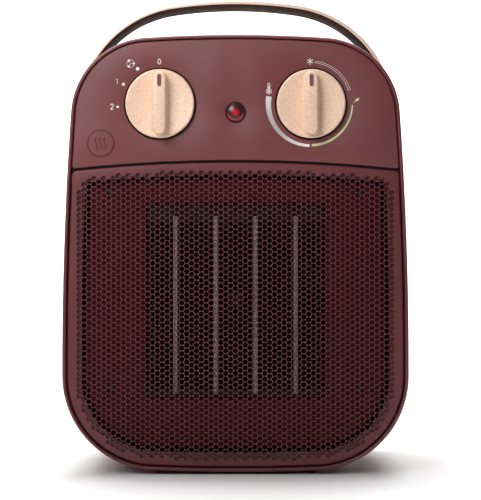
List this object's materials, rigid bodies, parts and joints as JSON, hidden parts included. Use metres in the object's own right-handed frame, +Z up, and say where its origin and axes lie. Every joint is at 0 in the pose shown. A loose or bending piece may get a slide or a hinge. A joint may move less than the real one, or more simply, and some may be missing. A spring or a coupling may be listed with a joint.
{
  "type": "ceramic space heater",
  "caption": "Compact upright fan heater with rounded housing, perforated front, two rotary controls, indicator lens, strap handle and rear intake cover.",
  "frame": {"origin": "centre of the overall box at floor level, under the middle of the housing", "axes": "+Z up, -Y out of the perforated front towards the user, +X to the right seen from the front"},
  "size_m": [0.187, 0.136, 0.2613],
  "materials": {
    "housing_plastic": "satin moulded plastic, burgundy",
    "baffle_plastic": "fine matt moulded plastic, burgundy",
    "foot_plastic": "matt moulded plastic, burgundy",
    "mark_plastic": "matt inlay, burgundy",
    "champagne_metal": "champagne metallic lacquer with fine flake",
    "champagne_paint": "champagne metallic paint on plastic, fine flake",
    "red_lens": "smoky red translucent",
    "lamp_glass": "clear glass",
    "black_plastic": "matt moulded plastic, black",
    "white_plastic": "natural nylon",
    "white_ceramic": "unglazed",
    "steel": "zinc plated",
    "lamination_steel": "stacked sheets, blued edges",
    "aluminium": "plain",
    "dark_fins": "folded strip, dark coated",
    "brass": "plain",
    "copper_winding": "enamelled copper winding",
    "filter_net": "fine black net",
    "black_rubber": "matt rubber",
    "lead_insulation": "silicone lead insulation"
  },
  "bodies": {
    "housing": {"front_housing": "housing_plastic", "rear_housing": "housing_plastic", "control_panel": "housing_plastic", "front_grille": "housing_plastic", "handle": "champagne_metal", "handle_plates": "steel", "handle_screws": "steel", "housing_screws": "steel", "front_feet": "foot_plastic", "rear_feet": "foot_plastic", "baffle": "baffle_plastic", "baffle_screws": "steel", "ptc_bars": "aluminium", "ptc_fins": "dark_fins", "ptc_top_frame": "black_plastic", "ptc_bottom_frame": "black_plastic", "ptc_side_springs": "steel", "ptc_terminals": "brass", "thermal_cutout": "steel", "thermal_fuse": "white_ceramic", "fan_duct": "black_plastic", "motor_stator": "lamination_steel", "motor_coil": "copper_winding", "motor_front_bracket": "aluminium", "motor_rear_bracket": "aluminium", "motor_bearings": "brass", "motor_screws": "steel", "motor_mount": "black_plastic", "mode_switch_body": "black_plastic", "thermostat_body": "white_ceramic", "control_nuts": "steel", "control_terminals": "brass", "indicator_ring": "black_plastic", "indicator_lens": "red_lens", "indicator_lamp": "lamp_glass", "lamp_holder": "black_plastic", "tip_switch_body": "black_plastic", "tip_spring": "steel", "terminal_block": "white_plastic", "terminal_screws": "brass", "cord_bush": "black_rubber", "cord_clamp": "black_plastic", "wiring": "lead_insulation"},
    "mode_knob": {"mode_knob": "champagne_paint", "mode_knob_mark": "mark_plastic", "mode_switch_shaft": "aluminium"},
    "thermostat_knob": {"thermostat_knob": "champagne_paint", "thermostat_knob_mark": "mark_plastic", "thermostat_shaft": "aluminium"},
    "fan": {"impeller": "black_plastic", "impeller_clip": "steel", "motor_shaft": "steel", "motor_rotor": "steel"},
    "tip_plunger": {"tip_plunger": "white_plastic"},
    "rear_cover": {"filter_cover": "housing_plastic", "dust_filter": "filter_net"}
  },
  "joints": [
    {"name": "mode_knob_turn", "type": "hinge", "parent": "housing", "child": "mode_knob", "pos_m": [-0.0407, -0.06, 0.1998], "axis": [0, -1, 0], "range_deg": [0, 93]},
    {"name": "thermostat_knob_turn", "type": "hinge", "parent": "housing", "child": "thermostat_knob", "pos_m": [0.0407, -0.06, 0.1998], "axis": [0, -1, 0], "range_deg": [-280, 0]},
    {"name": "fan_spin", "type": "hinge", "parent": "housing", "child": "fan", "pos_m": [0, 0.005, 0.0933], "axis": [0, 1, 0], "continuous": true},
    {"name": "tip_plunger_slide", "type": "slide", "parent": "housing", "child": "tip_plunger", "axis": [0, 0, -1], "range_m": [0, 0.006], "stiffness_N_per_m": 50, "springref_m": 0.012, "deforming": ["tip_spring"]},
    {"name": "rear_cover_slide", "type": "slide", "parent": "housing", "child": "rear_cover", "axis": [0, 1, 0], "range_m": [0, 0.03]}
  ]
}
